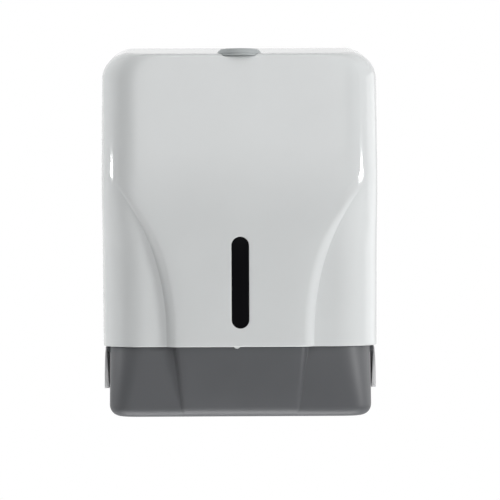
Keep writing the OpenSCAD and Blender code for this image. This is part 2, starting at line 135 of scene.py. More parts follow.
# Window
WINDOW_W = 17.5
WINDOW_H = 91.5
WINDOW_RISE = 64.0
WINDOW_Z = COVER_LOW + WINDOW_RISE
WINDOW_BEND = 0.7
LENS_BEND = 0.6
LENS_GAP = 0.15
LENS_SINK = 0.5
FLANGE_W = 3.5
FLANGE_T = 1.6
FRAME_BOSS_R = 3.4
FRAME_BOSS_H = 5.0
FRAME_HOLE_L = 8
FRAME_HOLE_SINK = 0.6
BAR_T = 1.6
FRAME_POINTS = [(x, WINDOW_Z + z) for x in (-19, 19) for z in (-36, 36)]

# Tray
TRAY_SET_IN = 7.5
TRAY_W = COVER_W - 2 * TRAY_SET_IN
TRAY_WALL = 2.4
TRAY_INSET = 4.0
TRAY_CORNER_R = 12.0
TRAY_STEP = 4.25
TRAY_STEP_RUN = 2.0
TRAY_SIDE = TRAY_W / 2 - TRAY_STEP
TRAY_BACK = 11.0
TRAY_LAP = 3.4
TRAY_TOP = COVER_LOW + TRAY_LAP
TRAY_LIP = 0.8
TRAY_STEPS = 14
TRAY_ROWS = 16
TRAY_INNER_STEPS = 10
TRAY_INNER_ROWS = 14
TRAY_EDGE_R = 18.0
TRAY_EDGE_GROW = 19.0
TRAY_FOOT_W = 57.5
TRAY_FOOT_LEAN = 0.145
TRAY_BAND_LOW = 6.0
TRAY_BAND_GROW = 10.0
TRAY_CREASE_SOFT = 0.2
TRAY_RECESS_POWER = 0.8
CHIN = 9.5
CHIN_R = 10.0
OUTLET_L = 156.0
OUTLET_W = 50.0
OUTLET_Y = -58.0
OUTLET_BEND = 0.9
OUTLET_PAST = 6
OUTLET_STEPS = 4
TRAY_HOLE_GAP = 0.3
TRAY_HOLE_L = 20
TRAY_POINTS = [(x, z) for x in (-96, 96) for z in (22, 56)]

# Short blocks on the tray that close the gap to the ears below the cover
TIE_ROOT = 1.2
TIE_OUT = 2.4
TIE_FRONT = -73.5
TIE_REAR = -69
TIE_LOW = COVER_LOW - 6.4
TIE_HIGH = COVER_LOW - 0.6

# Hinge arms on the cover
HINGE_Y = -30.0
HINGE_DROP = 39.0
HINGE_Z = COVER_LOW - HINGE_DROP
PIN_R = 3.0
PIN_GAP = 0.08
PIN_CHAMFER = 0.6
ARM_R = 7.0
ARM_FRONT = 1.0
ARM_REAR = 8.0
ARM_RISE = 6.0
ARM_TOP = COVER_LOW + ARM_RISE
ARM_FOOT = 5.5
ARM_FOOT_GAP = 0.1
ARM_GAP = 0.5
ARM_T = 3.0
LUG_IN = TRAY_SIDE + ARM_GAP
LUG_OUT = LUG_IN + ARM_T
EAR_INSET = 1.65
EAR_SKIN = 1.0
EAR_OUT = COVER_W / 2 - EAR_INSET
PIN_END = EAR_OUT - EAR_SKIN

# Lock
LOCK_BACK = 29.0
LOCK_SINK = 15.6
LOCK_Y = -(DEPTH - LOCK_BACK)
LOCK_FLOOR = OVERALL_H - LOCK_SINK
KNOB_R = 21.8
KNOB_GAP = 0.4
KNOB_LIFT = 0.2
KNOB_RIM = 3.2
KNOB_RISE = 4.2
KNOB_ROUND = 4.2
KNOB_STEPS = 10
POCKET_WALL = 2.4
POCKET_L = 60
POCKET_CUT_L = 40
SLEEVE_R = 11
SLEEVE_L = 30
SLEEVE_LIFT = 1
SHAFT_R = 8.0
SHAFT_L = 12.5
SHAFT_CUT_L = 20
TANG_R = 5.0
CAM_TOP = LOCK_FLOOR - SHAFT_L
CAM_T = 3.0
CAM_SCREW_ROOM = 10

# Key slot, and the dish and the groove of the lock head
SLOT_HALF = 1.6
SLOT_FRONT = 2
SLOT_BACK = 9
SLOT_FLOOR = 1
SLOT_PAST = 3
DISH_R = 6.4
DISH_SINK = 0.15
DISH_END_R = 0.2
COLLAR_CHAMFER = 0.4
GROOVE_LOW = 1.7
GROOVE_HIGH = 2.5
GROOVE_EDGE = 0.2
GROOVE_SINK = 0.5
SHOULDER_IN = 0.2

# Keeper of the lock on the shelf
SHELF_DROP = 43.4
KEEPER_FOOT_T = 2.0
KEEPER_SEAT = OVERALL_H - SHELF_DROP + KEEPER_FOOT_T

# Screws: head radius, head height, shank radius and shank length
TRAY_SCREW = (3.8, 2.0, 1.7, 9.0)
FRAME_SCREW = (2.6, 2.0, 1.2, 5.8)
KEEPER_SCREW = (3.4, 2.0, 1.5, 9.6)
CAM_SCREW = (6.4, 2.2, 1.6, 8.0)
KEEPER_POINTS = [(31, -22), (31, -46)]

# Screw form: lengths in millimetres, shares of a radius or of the height of the head
TIP_SHARE = 0.4
HEAD_CHAMFER = 0.2
HEAD_FLAT = 0.45
HEAD_END_R = 0.1
HEAD_STEPS = 7
CROSS_REACH = 0.68
CROSS_HALF = 0.13
CROSS_FLOOR = 0.45
CROSS_PAST = 1


# Form of the two mouldings

def clamp01(u):
    return max(0.0, min(1.0, u))


def ease(u):
    c = clamp01(u)
    return c * c * (3 - 2 * c)


def drop(t, r):
    """Fall of a round edge of radius r at a distance t from its end."""
    return 0.0 if t >= r else r - math.sqrt(max(0.0, r * r - (r - t) ** 2))


def crease(u, soft):
    """Fall of a shoulder with a steep wall and a crease at its end: 0 at its crest, 1 beyond its foot."""
    v = max(0.0, u)
    wall = max(0.0, v - 1 + WALL_SHARE) / WALL_SHARE
    fall = SHOULDER * v * v + (1 - SHOULDER) * wall ** FLANK_POWER
    near = max(0.0, soft - abs(fall - 1))
    return min(fall, 1.0) - near * near / (4 * soft)


def lean_share(h):
    rise = max(0.0, h - LEAN_FROM)
    bent = rise * rise / (2 * LEAN_RUN) if rise < LEAN_RUN else rise - LEAN_RUN / 2
    return bent / (OVERALL_H - LEAN_FROM - LEAN_RUN / 2)


def recess_share(h):
    return ease((RECESS_TOP - h) / RECESS_RUN)


def cover_half(h, k):
    bowed = COVER_W / 2 - BOW * ((h - BOW_MID) / BOW_RUN) ** 2
    return bowed - k - drop(OVERALL_H - k - h, TOP_CORNER_R - k)


def cover_depth(h, k):
    return DEPTH - k - LEAN * lean_share(h) - drop(OVERALL_H - k - h, TOP_EDGE_R - k)


def cover_foot(h, k):
    return FOOT_W - SLANT * k + FLARE * (max(0.0, h - COVER_LOW) / FLARE_RUN) ** FLARE_POWER


def tray_half(h, k):
    return TRAY_W / 2 - k - drop(h - k, TRAY_CORNER_R - k)


def tray_depth(h, k):
    back = CHIN * (max(0.0, COVER_LOW - h) / COVER_LOW) ** 2
    return DEPTH - TRAY_INSET - k - back - drop(h - k, CHIN_R - k)


def across(half, r, foot, band, fine):
    """Places over one half of a front: x, and how far the rounded upright edge has fallen there."""
    end = half - r
    foot = min(foot, half - EDGE_ROOM)

    def along(x):
        return x if x <= end else end + r * math.asin((x - end) / r)

    low, high = along(foot) - CREASE_W, along(foot) + CREASE_W
    stops = [0.0, along(foot - band), low, high, end + r * math.pi / 2]
    out = []
    for a, b, share in zip(stops, stops[1:], SPREAD):
        n = share * fine
        for i in range(n):
            q = a + (b - a) * (i + 1) / n
            turn = max(0.0, q - end) / r
            out.append((min(q, end) + r * math.sin(turn), r * (1 - math.cos(turn))))
    return out


def mirrored(right, middle):
    return right[::-1] + [middle] + [(-x, y) for x, y in right]


def cover_ring(h, k, back, fine=3):
    grow = recess_share(h)
    depth, foot = cover_depth(h, k), cover_foot(h, k)
    half = cover_half(h, k)
    right = []
    band = FLANK_W * (FLANK_KEEP + (1 - FLANK_KEEP) * grow)
    for x, fall in across(half, SIDE_EDGE_R - k + EDGE_GROW * grow, foot, band, fine):
        step = crease((x - foot + band) / band, CREASE_SOFT)
        right.append((x, fall + RECESS * grow * step - depth))
    side = right[-1][1]
    right += [(half, side + (back - side) * (i + 1) / SIDE_ROWS) for i in range(SIDE_ROWS)]
    tilt = TOP_FALL / (DEPTH - LEAN) * lean_share(h)
    ring = mirrored(right, (0.0, -depth))
    return [(x, y, h - MOUNT_H + tilt * (y + COVER_BACK)) for x, y in ring]


def tray_ring(h, k, back, fine=2):
    rise = clamp01(h / COVER_LOW)
    depth, half = tray_depth(h, k), tray_half(h, k)
    foot = TRAY_FOOT_W + TRAY_FOOT_LEAN * h - SLANT * k
    band = TRAY_BAND_LOW + TRAY_BAND_GROW * rise
    right = []
    for x, fall in across(half, TRAY_EDGE_R - k + TRAY_EDGE_GROW * rise, foot, band, fine):
        step = crease((x - foot + band) / band, TRAY_CREASE_SOFT)
        right.append((x, fall + RECESS * rise ** TRAY_RECESS_POWER * step - depth))
    side = right[-1][1]
    right += [(half - TRAY_STEP, side + TRAY_STEP_RUN), (half - TRAY_STEP, back)]
    return [(x, y, h - MOUNT_H) for x, y in mirrored(right, (0.0, -depth))]


# Mesh helpers

def mesh_object(name, verts, faces):
    mesh = bpy.data.meshes.new(name)
    mesh.from_pydata([(x * MM, y * MM, z * MM) for x, y, z in verts], [], faces)
    mesh.validate()
    obj = bpy.data.objects.new(name, mesh)
    bpy.context.scene.collection.objects.link(obj)
    bm = bmesh.new()
    bm.from_mesh(mesh)
    bmesh.ops.recalc_face_normals(bm, faces=bm.faces)
    bm.to_mesh(mesh)
    bm.free()
    return obj


def loft(name, rings):
    """Closed solid through a stack of rings with equal counts of points."""
    m = len(rings[0])
    verts = [p for ring in rings for p in ring]
    faces = []
    for i in range(len(rings) - 1):
        for j in range(m):
            k = (j + 1) % m
            faces.append((i * m + j, i * m + k, (i + 1) * m + k, (i + 1) * m + j))
    last = (len(rings) - 1) * m
    faces.append(tuple(range(m - 1, -1, -1)))
    faces.append(tuple(last + j for j in range(m)))
    return mesh_object(name, verts, faces)


def lathe(name, start, axis, profile, sides=64):
    """Turned solid about X, Y or Z through a point: the profile has (distance along, radius) pairs."""
    rings = []
    for along, radius in profile:
        ring = []
        for i in range(sides):
            a = 2 * math.pi * i / sides
            p = [0.0, 0.0, 0.0]
            p[axis] = along
            p[(axis + 1) % 3] = radius * math.cos(a)
            p[(axis + 2) % 3] = radius * math.sin(a)
            ring.append((start[0] + p[0], start[1] + p[1], start[2] + p[2] - MOUNT_H))
        rings.append(ring)
    return loft(name, rings)


def rod(name, start, axis, length, radius, sides=64):
    return lathe(name, start, axis, [(0, radius), (length, radius)], sides)


def block(name, x0, x1, y0, y1, z0, z1):
    corners = [(x0, y0), (x1, y0), (x1, y1), (x0, y1)]
    return loft(name, [[(x, y, z - MOUNT_H) for x, y in corners] for z in (z0, z1)])


def slot_ring(width, length, steps=24):
    """Slot outline, long along its first axis, as points round the centre."""
    reach = (length - width) / 2
    out = []
    for side in (1, -1):
        for i in range(steps + 1):
            a = math.pi * i / steps - math.pi / 2
            out.append((side * (reach + width / 2 * math.cos(a)), side * width / 2 * math.sin(a)))
    return out


def slot_prism(name, sections):
    """Upright slot shape round the window centre, through (depth, width) sections."""
    rings = []
    for y, w in sections:
        outline = slot_ring(w, WINDOW_H - WINDOW_W + w)
        rings.append([(x, y, WINDOW_Z - MOUNT_H + z) for z, x in outline])
    return loft(name, rings)


def boolean(target, tool, operation):
    mod = target.modifiers.new("cut", "BOOLEAN")
    mod.object = tool
    mod.operation = operation
    mod.solver = "EXACT"
    graph = bpy.context.evaluated_depsgraph_get()
    done = bpy.data.meshes.new_from_object(target.evaluated_get(graph))
    target.modifiers.clear()
    old = target.data
    target.data = done
    bpy.data.meshes.remove(old)
    bpy.data.objects.remove(tool)


def smooth(obj, angle=32):
    obj.data.shade_smooth()
    obj.data.set_sharp_from_angle(angle=math.radians(angle))


def quarter(steps=6):
    """Angles over a quarter turn, for rounded edges."""
    return [math.pi / 2 * i / steps for i in range(steps + 1)]


def softened(name, node, width):
    """Copy of a CAD node with its sharp edges rounded."""
    obj = bpy.data.objects.new(name, nodes[node].data.copy())
    bpy.context.scene.collection.objects.link(obj)
    obj.data.materials.clear()
    bm = bmesh.new()
    bm.from_mesh(obj.data)
    bmesh.ops.remove_doubles(bm, verts=bm.verts, dist=1e-6)
    bmesh.ops.dissolve_limit(bm, angle_limit=math.radians(MERGE_ANGLE), verts=bm.verts, edges=bm.edges)
    limit = math.radians(SHARP_ANGLE)
    sharp = [e for e in bm.edges if e.is_manifold and e.calc_face_angle(0) > limit]
    bmesh.ops.bevel(bm, geom=sharp, offset=width * MM, offset_type="OFFSET", segments=2,
                    profile=0.5, affect="EDGES", clamp_overlap=True)
    bm.to_mesh(obj.data)
    bm.free()
    smooth(obj, SOFT_SMOOTH)
    for face in obj.data.polygons:
        if len(face.vertices) > 4 or face.area > FLAT_AREA * MM * MM:
            face.use_smooth = False
    return obj


# White cover

def cover_levels(top, shift):
    """Heights of the rings: even rows on the front, close ones in the rounded top corners."""
    steps = [COVER_LOW + rise for rise in FIRST_ROWS]
    h = COVER_LOW + ROWS_FROM
    while h < ROWS_TO:
        steps.append(h - shift)
        h += ROW_GAP
    near = [TOP_CORNER_R * (1 - math.sin(a)) for a in quarter(CORNER_STEPS)]
    return steps + [top - t for t in near if top - t > steps[-1] + ROW_MIN]


def cover_shell():
    """Outer loft with a rounded lower lip, and the inner loft that hollows it."""
    lip = COVER_LIP
    rings = [cover_ring(COVER_LOW + lip * (1 - math.sin(a)), lip * (1 - math.cos(a)), -COVER_BACK)
             for a in quarter(LIP_STEPS)[::-1]]
    rings += [cover_ring(h, 0, -COVER_BACK) for h in cover_levels(OVERALL_H, 0)]
    outer = loft("front_cover_skin", rings)
    low = [cover_ring(COVER_LOW + d, COVER_WALL - lip, PAST) for d in INNER_DROP]
    low += [cover_ring(COVER_LOW + lip * (1 - math.cos(a)), COVER_WALL - lip * (1 - math.sin(a)), PAST)
            for a in quarter(LIP_STEPS)]
    low += [cover_ring(h, COVER_WALL, PAST) for h in cover_levels(OVERALL_H - COVER_WALL, INNER_SHIFT)]
    return outer, loft("inner", low)


def cover_inside():
    """What stands on the inner face: lock pocket and sleeve, ribs and frame bosses."""
    pocket = KNOB_R + KNOB_GAP + POCKET_WALL
    yield rod("k", (0, LOCK_Y, LOCK_FLOOR - COVER_WALL), Z, POCKET_L, pocket, sides=96)
    yield rod("k", (0, LOCK_Y, CAM_TOP + SLEEVE_LIFT), Z, SLEEVE_L, SLEEVE_R)
    for x in (-RIB_X, RIB_X):
        a, b = x - RIB_HALF, x + RIB_HALF
        yield block("k", a, b, -DEPTH - PAST, -FRONT_IN + RIB_H, RIB_LOW, RIB_HIGH)
        yield block("k", a, b, TOP_RIB_FRONT, TOP_RIB_END, OVERALL_H - TOP_RIB_H, OVERALL_H + PAST)
    for x, z in FRAME_POINTS:
        yield rod("k", (x, -FRONT_IN - MARGIN, z), Y, MARGIN + FRAME_BOSS_H, FRAME_BOSS_R, sides=32)


def hinge_arm(side):
    a, b = sorted((side * LUG_IN, side * LUG_OUT))
    wide = sorted((side * LUG_IN, side * (COVER_W / 2 - COVER_WALL)))
    arm = rod("arm", (a, HINGE_Y, HINGE_Z), X, b - a, ARM_R)
    front, rear = HINGE_Y - ARM_FRONT, HINGE_Y + ARM_REAR
    boolean(arm, block("u", a, b, front, rear, HINGE_Z, ARM_TOP), "UNION")
    foot = block("u", *wide, front, rear, ARM_TOP - ARM_FOOT, ARM_TOP - ARM_FOOT_GAP)
    boolean(arm, foot, "UNION")
    bore = rod("c", (a - MARGIN, HINGE_Y, HINGE_Z), X, b - a + 2 * MARGIN, PIN_R + PIN_GAP)
    boolean(arm, bore, "DIFFERENCE")
    return arm


def window_mouth():
    """Cutter for the window, with an eased outer edge."""
    bend = WINDOW_BEND
    mouth = [(-DEPTH - PAST, WINDOW_W + 2 * bend)]
    mouth += [(-DEPTH + bend * (1 - math.cos(a)), WINDOW_W + 2 * bend * (1 - math.sin(a)))
              for a in quarter(LIP_STEPS)]
    mouth.append((-FRONT_IN + MARGIN, WINDOW_W))
    return slot_prism("c", mouth)


def make_cover():
    outer, inner = cover_shell()
    for tool in cover_inside():
        boolean(inner, tool, "DIFFERENCE")
    boolean(outer, inner, "DIFFERENCE")
    pocket = KNOB_R + KNOB_GAP
    boolean(outer, rod("c", (0, LOCK_Y, LOCK_FLOOR), Z, POCKET_CUT_L, pocket, sides=128), "DIFFERENCE")
    shaft = rod("c", (0, LOCK_Y, CAM_TOP - PAST), Z, SHAFT_CUT_L, SHAFT_R + PIN_GAP)
    boolean(outer, shaft, "DIFFERENCE")
    boolean(outer, window_mouth(), "DIFFERENCE")
    for x, z in FRAME_POINTS:
        hole = rod("c", (x, -FRONT_IN - FRAME_HOLE_SINK, z), Y, FRAME_HOLE_L, FRAME_SCREW[2], sides=24)
        boolean(outer, hole, "DIFFERENCE")
    for side in (-1, 1):
        boolean(outer, hinge_arm(side), "UNION")
    nub = rod("nub", (NUB_X, -DEPTH + NUB_SINK, COVER_LOW + NUB_RISE), Y, NUB_T, NUB_R, sides=48)
    boolean(outer, nub, "UNION")
    smooth(outer)
    return outer


# Grey tray

def outlet_cutter():
    """Cutter for the paper outlet, with eased edges above and below."""
    bend = OUTLET_BEND
    rounded = quarter(OUTLET_STEPS)
    levels = [(-PAST, bend)]
    levels += [(bend * (1 - math.cos(a)), bend * (1 - math.sin(a))) for a in rounded]
    levels += [(TRAY_WALL - bend * (1 - math.cos(a)), bend * (1 - math.sin(a))) for a in rounded[::-1]]
    levels.append((TRAY_WALL + OUTLET_PAST, bend))
    rings = []
    for z, grow in levels:
        outline = slot_ring(OUTLET_W + 2 * grow, OUTLET_L + 2 * grow, steps=32)
        rings.append([(x, OUTLET_Y + y, z - MOUNT_H) for x, y in outline])
    return loft("c", rings)


def make_tray():
    lip = TRAY_LIP
    levels = [TRAY_CORNER_R * (1 - math.cos(a)) for a in quarter(TRAY_STEPS)]
    rise = TRAY_TOP - lip - TRAY_CORNER_R
    levels += [TRAY_CORNER_R + rise * (i + 1) / TRAY_ROWS for i in range(TRAY_ROWS)]
    rings = [tray_ring(h, 0, -TRAY_BACK) for h in levels]
    rings += [tray_ring(TRAY_TOP - lip + lip * math.sin(a), lip * (1 - math.cos(a)), -TRAY_BACK)
              for a in quarter(LIP_STEPS)[1:]]
    outer = loft("lower_tray_skin", rings)
    w = TRAY_WALL
    inside_r = TRAY_CORNER_R - w
    levels = [w + inside_r * (1 - math.cos(a)) for a in quarter(TRAY_INNER_STEPS)]
    rise = TRAY_TOP + PAST - TRAY_CORNER_R
    levels += [TRAY_CORNER_R + rise * (i + 1) / TRAY_INNER_ROWS for i in range(TRAY_INNER_ROWS)]
    boolean(outer, loft("inner", [tray_ring(h, w, -TRAY_BACK - w) for h in levels]), "DIFFERENCE")
    boolean(outer, outlet_cutter(), "DIFFERENCE")
    for x, z in TRAY_POINTS:
        radius = TRAY_SCREW[2] + TRAY_HOLE_GAP
        hole = rod("c", (x, -TRAY_HOLE_L, z), Y, TRAY_HOLE_L, radius, sides=32)
        boolean(outer, hole, "DIFFERENCE")
    for side in (-1, 1):
        a, b = sorted((side * (TRAY_W / 2 - TIE_ROOT), side * (TRAY_W / 2 + TIE_OUT)))
        boolean(outer, block("u", a, b, TIE_FRONT, TIE_REAR, TIE_LOW, TIE_HIGH), "UNION")
    smooth(outer)
    return outer


# Window and lock

def make_lens():
    w = WINDOW_W - 2 * LENS_GAP
    front = -DEPTH + LENS_SINK
    bend = LENS_BEND
    sections = [(front + bend * (1 - math.sin(a)), w - 2 * bend * (1 - math.cos(a)))
                for a in quarter()[::-1]]
    flange = WINDOW_W + 2 * FLANGE_W
    sections += [(-FRONT_IN, w), (-FRONT_IN, flange), (-FRONT_IN + FLANGE_T, flange)]
    obj = slot_prism("window_lens_skin", sections)
    smooth(obj)
    return obj


def make_lock_head():
    """Round lock head: shaft, collar with a fine groove, rounded shoulder and key slot."""
    base = LOCK_FLOOR + KNOB_LIFT
    rim = LOCK_FLOOR + KNOB_RIM
    top = rim + KNOB_RISE
    profile = [(CAM_TOP - CAM_T, TANG_R), (CAM_TOP, TANG_R), (CAM_TOP, SHAFT_R), (base, SHAFT_R)]
    profile += [(base, KNOB_R - COLLAR_CHAMFER), (base + COLLAR_CHAMFER, KNOB_R)]
    groove, shoulder = KNOB_R - GROOVE_SINK, KNOB_R - SHOULDER_IN
    profile += [(base + GROOVE_LOW, KNOB_R), (base + GROOVE_LOW + GROOVE_EDGE, groove)]
    profile += [(base + GROOVE_HIGH - GROOVE_EDGE, groove), (base + GROOVE_HIGH, shoulder)]
    profile += [(top - KNOB_ROUND * (1 - math.sin(a)), shoulder - KNOB_ROUND * (1 - math.cos(a)))
                for a in quarter(KNOB_STEPS)]
    profile += [(top - DISH_SINK, DISH_R), (top - DISH_SINK, DISH_END_R)]
    obj = lathe("lock_head", (0, LOCK_Y, 0), Z, profile, sides=128)
    front, back = LOCK_Y - SLOT_FRONT, LOCK_Y + SLOT_BACK
    slot = block("c", -SLOT_HALF, SLOT_HALF, front, back, rim + SLOT_FLOOR, top + SLOT_PAST)
    boolean(obj, slot, "DIFFERENCE")
    start = (0, LOCK_Y, CAM_TOP - CAM_T - PAST)
    boolean(obj, rod("c", start, Z, CAM_T + CAM_SCREW_ROOM, CAM_SCREW[2], sides=32), "DIFFERENCE")
    smooth(obj)
    return obj


# Screws and pins

def screw_group(name, size, places):
    """Pan head screws with a cross recess. Each place turns and moves a screw whose head looks to -Y."""
    head_r, head_h, shank_r, shank_l = size
    edge = HEAD_CHAMFER
    profile = [(shank_l, TIP_SHARE * shank_r), (shank_l - shank_r, shank_r), (0, shank_r)]
    profile += [(0, head_r - edge), (-edge, head_r)]
    for a in quarter(HEAD_STEPS)[1:]:
        share = HEAD_FLAT + (1 - HEAD_FLAT) * math.cos(a)
        profile.append((-edge - (head_h - edge) * math.sin(a), head_r * share))
    profile.append((-head_h, HEAD_END_R))
    screw = lathe(name, (0, 0, MOUNT_H), Y, profile, sides=32)
    arm, half = CROSS_REACH * head_r, CROSS_HALF * head_r
    top, floor = -head_h - CROSS_PAST, -CROSS_FLOOR * head_h
    for x, z in ((arm, half), (half, arm)):
        boolean(screw, block("c", -x, x, top, floor, MOUNT_H - z, MOUNT_H + z), "DIFFERENCE")
    one = screw.data
    bm = bmesh.new()
    for place in places:
        count = len(bm.verts)
        bm.from_mesh(one)
        bm.verts.ensure_lookup_table()
        bmesh.ops.transform(bm, matrix=place, verts=bm.verts[count:])
    bm.to_mesh(one)
    bm.free()
    smooth(screw)
    return screw


def moved(x, y, z, turn=None):
    place = Matrix.Translation((x * MM, y * MM, (z - MOUNT_H) * MM))
    return place @ Matrix.Rotation(math.radians(turn[0]), 4, turn[1]) if turn else place


def make_pin(side):
    """Hinge pin with a chamfer at both ends."""
    length = PIN_END - LUG_IN
    ends = PIN_CHAMFER
    profile = [(0, PIN_R - ends), (ends, PIN_R), (length - ends, PIN_R), (length, PIN_R - ends)]
    name = "hinge_pin_left_skin" if side < 0 else "hinge_pin_right_skin"
    turned = [(side * s, r) for s, r in profile]
    obj = lathe(name, (side * LUG_IN, HINGE_Y, HINGE_Z), X, turned, sides=48)
    smooth(obj)
    return obj


# Materials

MOTTLE_SCALE = 14.0
MOTTLE_DETAIL = 4.0
MOTTLE_STOPS = (0.3, 0.7)
GLOSS_STOPS = (0.85, 1.15)
GRAIN_SCALE = 900.0
GRAIN_DETAIL = 2.0
GRAIN_LIFT = 0.0002


def material(name, colour, rough, metallic=0.0, specular=0.5, bump=0.0, vary=0.03):
    """Moulded or plated finish: mottled colour and gloss from one noise, fine grain from another."""
    mat = bpy.data.materials.new(name)
    mat.use_nodes = True
    tree = mat.node_tree
    bsdf = tree.nodes["Principled BSDF"]
    bsdf.inputs["Metallic"].default_value = metallic
    bsdf.inputs["Specular IOR Level"].default_value = specular
    place = tree.nodes.new("ShaderNodeTexCoord")
    mottle = tree.nodes.new("ShaderNodeTexNoise")
    mottle.inputs["Scale"].default_value = MOTTLE_SCALE
    mottle.inputs["Detail"].default_value = MOTTLE_DETAIL
    tree.links.new(place.outputs["Object"], mottle.inputs["Vector"])
    tint = tree.nodes.new("ShaderNodeValToRGB")
    for stop, position, level in zip(tint.color_ramp.elements, MOTTLE_STOPS, (1 - vary, 1 + vary)):
        stop.position = position
        stop.color = (*[min(1.0, c * level) for c in colour], 1)
    tree.links.new(mottle.outputs["Fac"], tint.inputs["Fac"])
    tree.links.new(tint.outputs["Color"], bsdf.inputs["Base Color"])
    gloss = tree.nodes.new("ShaderNodeMapRange")
    gloss.inputs["To Min"].default_value = rough * GLOSS_STOPS[0]
    gloss.inputs["To Max"].default_value = rough * GLOSS_STOPS[1]
    tree.links.new(mottle.outputs["Fac"], gloss.inputs["Value"])
    tree.links.new(gloss.outputs["Result"], bsdf.inputs["Roughness"])
    if bump:
        fine = tree.nodes.new("ShaderNodeTexNoise")
        fine.inputs["Scale"].default_value = GRAIN_SCALE
        fine.inputs["Detail"].default_value = GRAIN_DETAIL
        tree.links.new(place.outputs["Object"], fine.inputs["Vector"])
        lift = tree.nodes.new("ShaderNodeBump")
        lift.inputs["Strength"].default_value = bump
        lift.inputs["Distance"].default_value = GRAIN_LIFT
        tree.links.new(fine.outputs["Fac"], lift.inputs["Height"])
        tree.links.new(lift.outputs["Normal"], bsdf.inputs["Normal"])
    return mat


FINISH = {
    "cover_white": material("white_abs", (0.706, 0.725, 0.727), 0.10, bump=0.03, vary=0.012),
    "base_grey": material("grey_abs", (0.090, 0.093, 0.099), 0.46, specular=0.38, bump=0.10, vary=0.05),
    "plate_grey": material("pale_grey_abs", (0.70, 0.70, 0.71), 0.34, bump=0.10),
    "window_smoke": material("smoked_window", (0.003, 0.003, 0.004), 0.12, specular=0.03, vary=0.1),
    "lock_grey": material("lock_grey", (0.43, 0.455, 0.46), 0.50, specular=0.3, bump=0.05),
    "steel": material("zinc_steel", (0.55, 0.56, 0.58), 0.32, metallic=1.0, bump=0.08),
}


def show(piece, node):
    """Lets a piece stand for a CAD node: its finish, its body and its slot."""
    piece.data.materials.clear()
    piece.data.materials.append(FINISH[SLOT_OF[node]])
    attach(piece, BODY_OF[node])
    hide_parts(node)


show(make_cover(), "front_cover")
show(make_tray(), "lower_tray")
show(softened("back_plate_skin", "back_plate", width=0.4), "back_plate")
show(make_lens(), "window_lens")
show(softened("window_frame_skin", "window_frame", width=0.3), "window_frame")
show(make_lock_head(), "lock_knob")
show(softened("lock_washer_skin", "lock_washer", width=0.15), "lock_washer")
show(softened("lock_cam_skin", "lock_cam", width=0.3), "lock_cam")
show(softened("lock_keeper_skin", "lock_keeper", width=0.3), "lock_keeper")
show(make_pin(-1), "hinge_pin_left")
show(make_pin(1), "hinge_pin_right")
tray_seat = -TRAY_BACK - TRAY_WALL
show(screw_group("tray_screw_set", TRAY_SCREW, [moved(x, tray_seat, z) for x, z in TRAY_POINTS]),
     "tray_screws")
frame_seat = -FRONT_IN + FRAME_BOSS_H + BAR_T
show(screw_group("frame_screw_set", FRAME_SCREW,
                 [moved(x, frame_seat, z, (180, "Z")) for x, z in FRAME_POINTS]), "frame_screws")
show(screw_group("keeper_screw_set", KEEPER_SCREW,
                 [moved(x, y, KEEPER_SEAT, (-90, "X")) for x, y in KEEPER_POINTS]), "keeper_screws")
show(screw_group("cam_screw_skin", CAM_SCREW,
                 [moved(0, LOCK_Y, CAM_TOP - CAM_T, (90, "X"))]), "cam_screw")

# Stage, light and camera

scene = bpy.context.scene
scene.view_settings.view_transform = "Standard"
AIM = Vector((0, -0.06, 0))
FILL_LEVEL = 0.02

# Floor, in metres, with the shares of its radius between which it fades to white
FLOOR_LEVEL = -0.90
FLOOR_R = 2.4
FLOOR_SIDES = 96
FLOOR_FADE = (0.35, 0.95)
FLOOR_COLOUR = (0.86, 0.86, 0.86, 1)

# Lamps: name, azimuth and elevation in degrees, distance, width and height in metres, power and role
LAMPS = [
    ("key_right", 62, 7.3, 3.0, 0.56, 0.11, 41.0, "full"),
    ("side_right", 112, 6, 1.6, 1.3, 0.9, 5.0, "full"),
    ("side_left", -105, 10, 1.6, 0.5, 0.5, 16.0, "matt"),
    ("streak_left", -87, 7.2, 1.6, 0.24, 0.06, 2.8, "shine"),
    ("front_soft", 0, 31, 2.0, 2.4, 2.2, 32.0, "graded"),
    ("overhead", 0, 70, 1.8, 1.8, 1.5, 8.0, "full"),
    ("table_bounce", 0, -84, 0.7, 0.7, 0.30, 3.8, "full"),
]

# Shares of a graded lamp's face over which its lower end and its sides fade
GRADE_LOWER = 0.24
GRADE_SIDES = 0.42

# Camera: place in metres, turn in degrees, and the tangent of half its view
EYE = (-0.018, -2.605, -0.0230)
EYE_TURN = (90, 0.25, -0.640)
HALF_VIEW = 0.1


def seen_rays(tree):
    """1 for rays of the camera and for mirrored or refracted ones, 0 for light that falls on things."""
    path = tree.nodes.new("ShaderNodeLightPath")
    total = path.outputs["Is Camera Ray"]
    for kind in ("Is Glossy Ray", "Is Transmission Ray"):
        either = tree.nodes.new("ShaderNodeMath")
        either.operation = "MAXIMUM"
        tree.links.new(total, either.inputs[0])
        tree.links.new(path.outputs[kind], either.inputs[1])
        total = either.outputs["Value"]
    return total


def make_world():
    """White to the eye, with a faint fill on the things in it."""
    world = bpy.data.worlds.new("studio")
    world.use_nodes = True
    tree = world.node_tree
    tree.nodes.clear()
    out = tree.nodes.new("ShaderNodeOutputWorld")
    mix = tree.nodes.new("ShaderNodeMixShader")
    for socket, level in ((1, FILL_LEVEL), (2, 1.0)):
        light = tree.nodes.new("ShaderNodeBackground")
        light.inputs["Color"].default_value = (1, 1, 1, 1)
        light.inputs["Strength"].default_value = level
        tree.links.new(light.outputs["Background"], mix.inputs[socket])
    tree.links.new(seen_rays(tree), mix.inputs["Fac"])
    tree.links.new(mix.outputs["Shader"], out.inputs["Surface"])
    return world


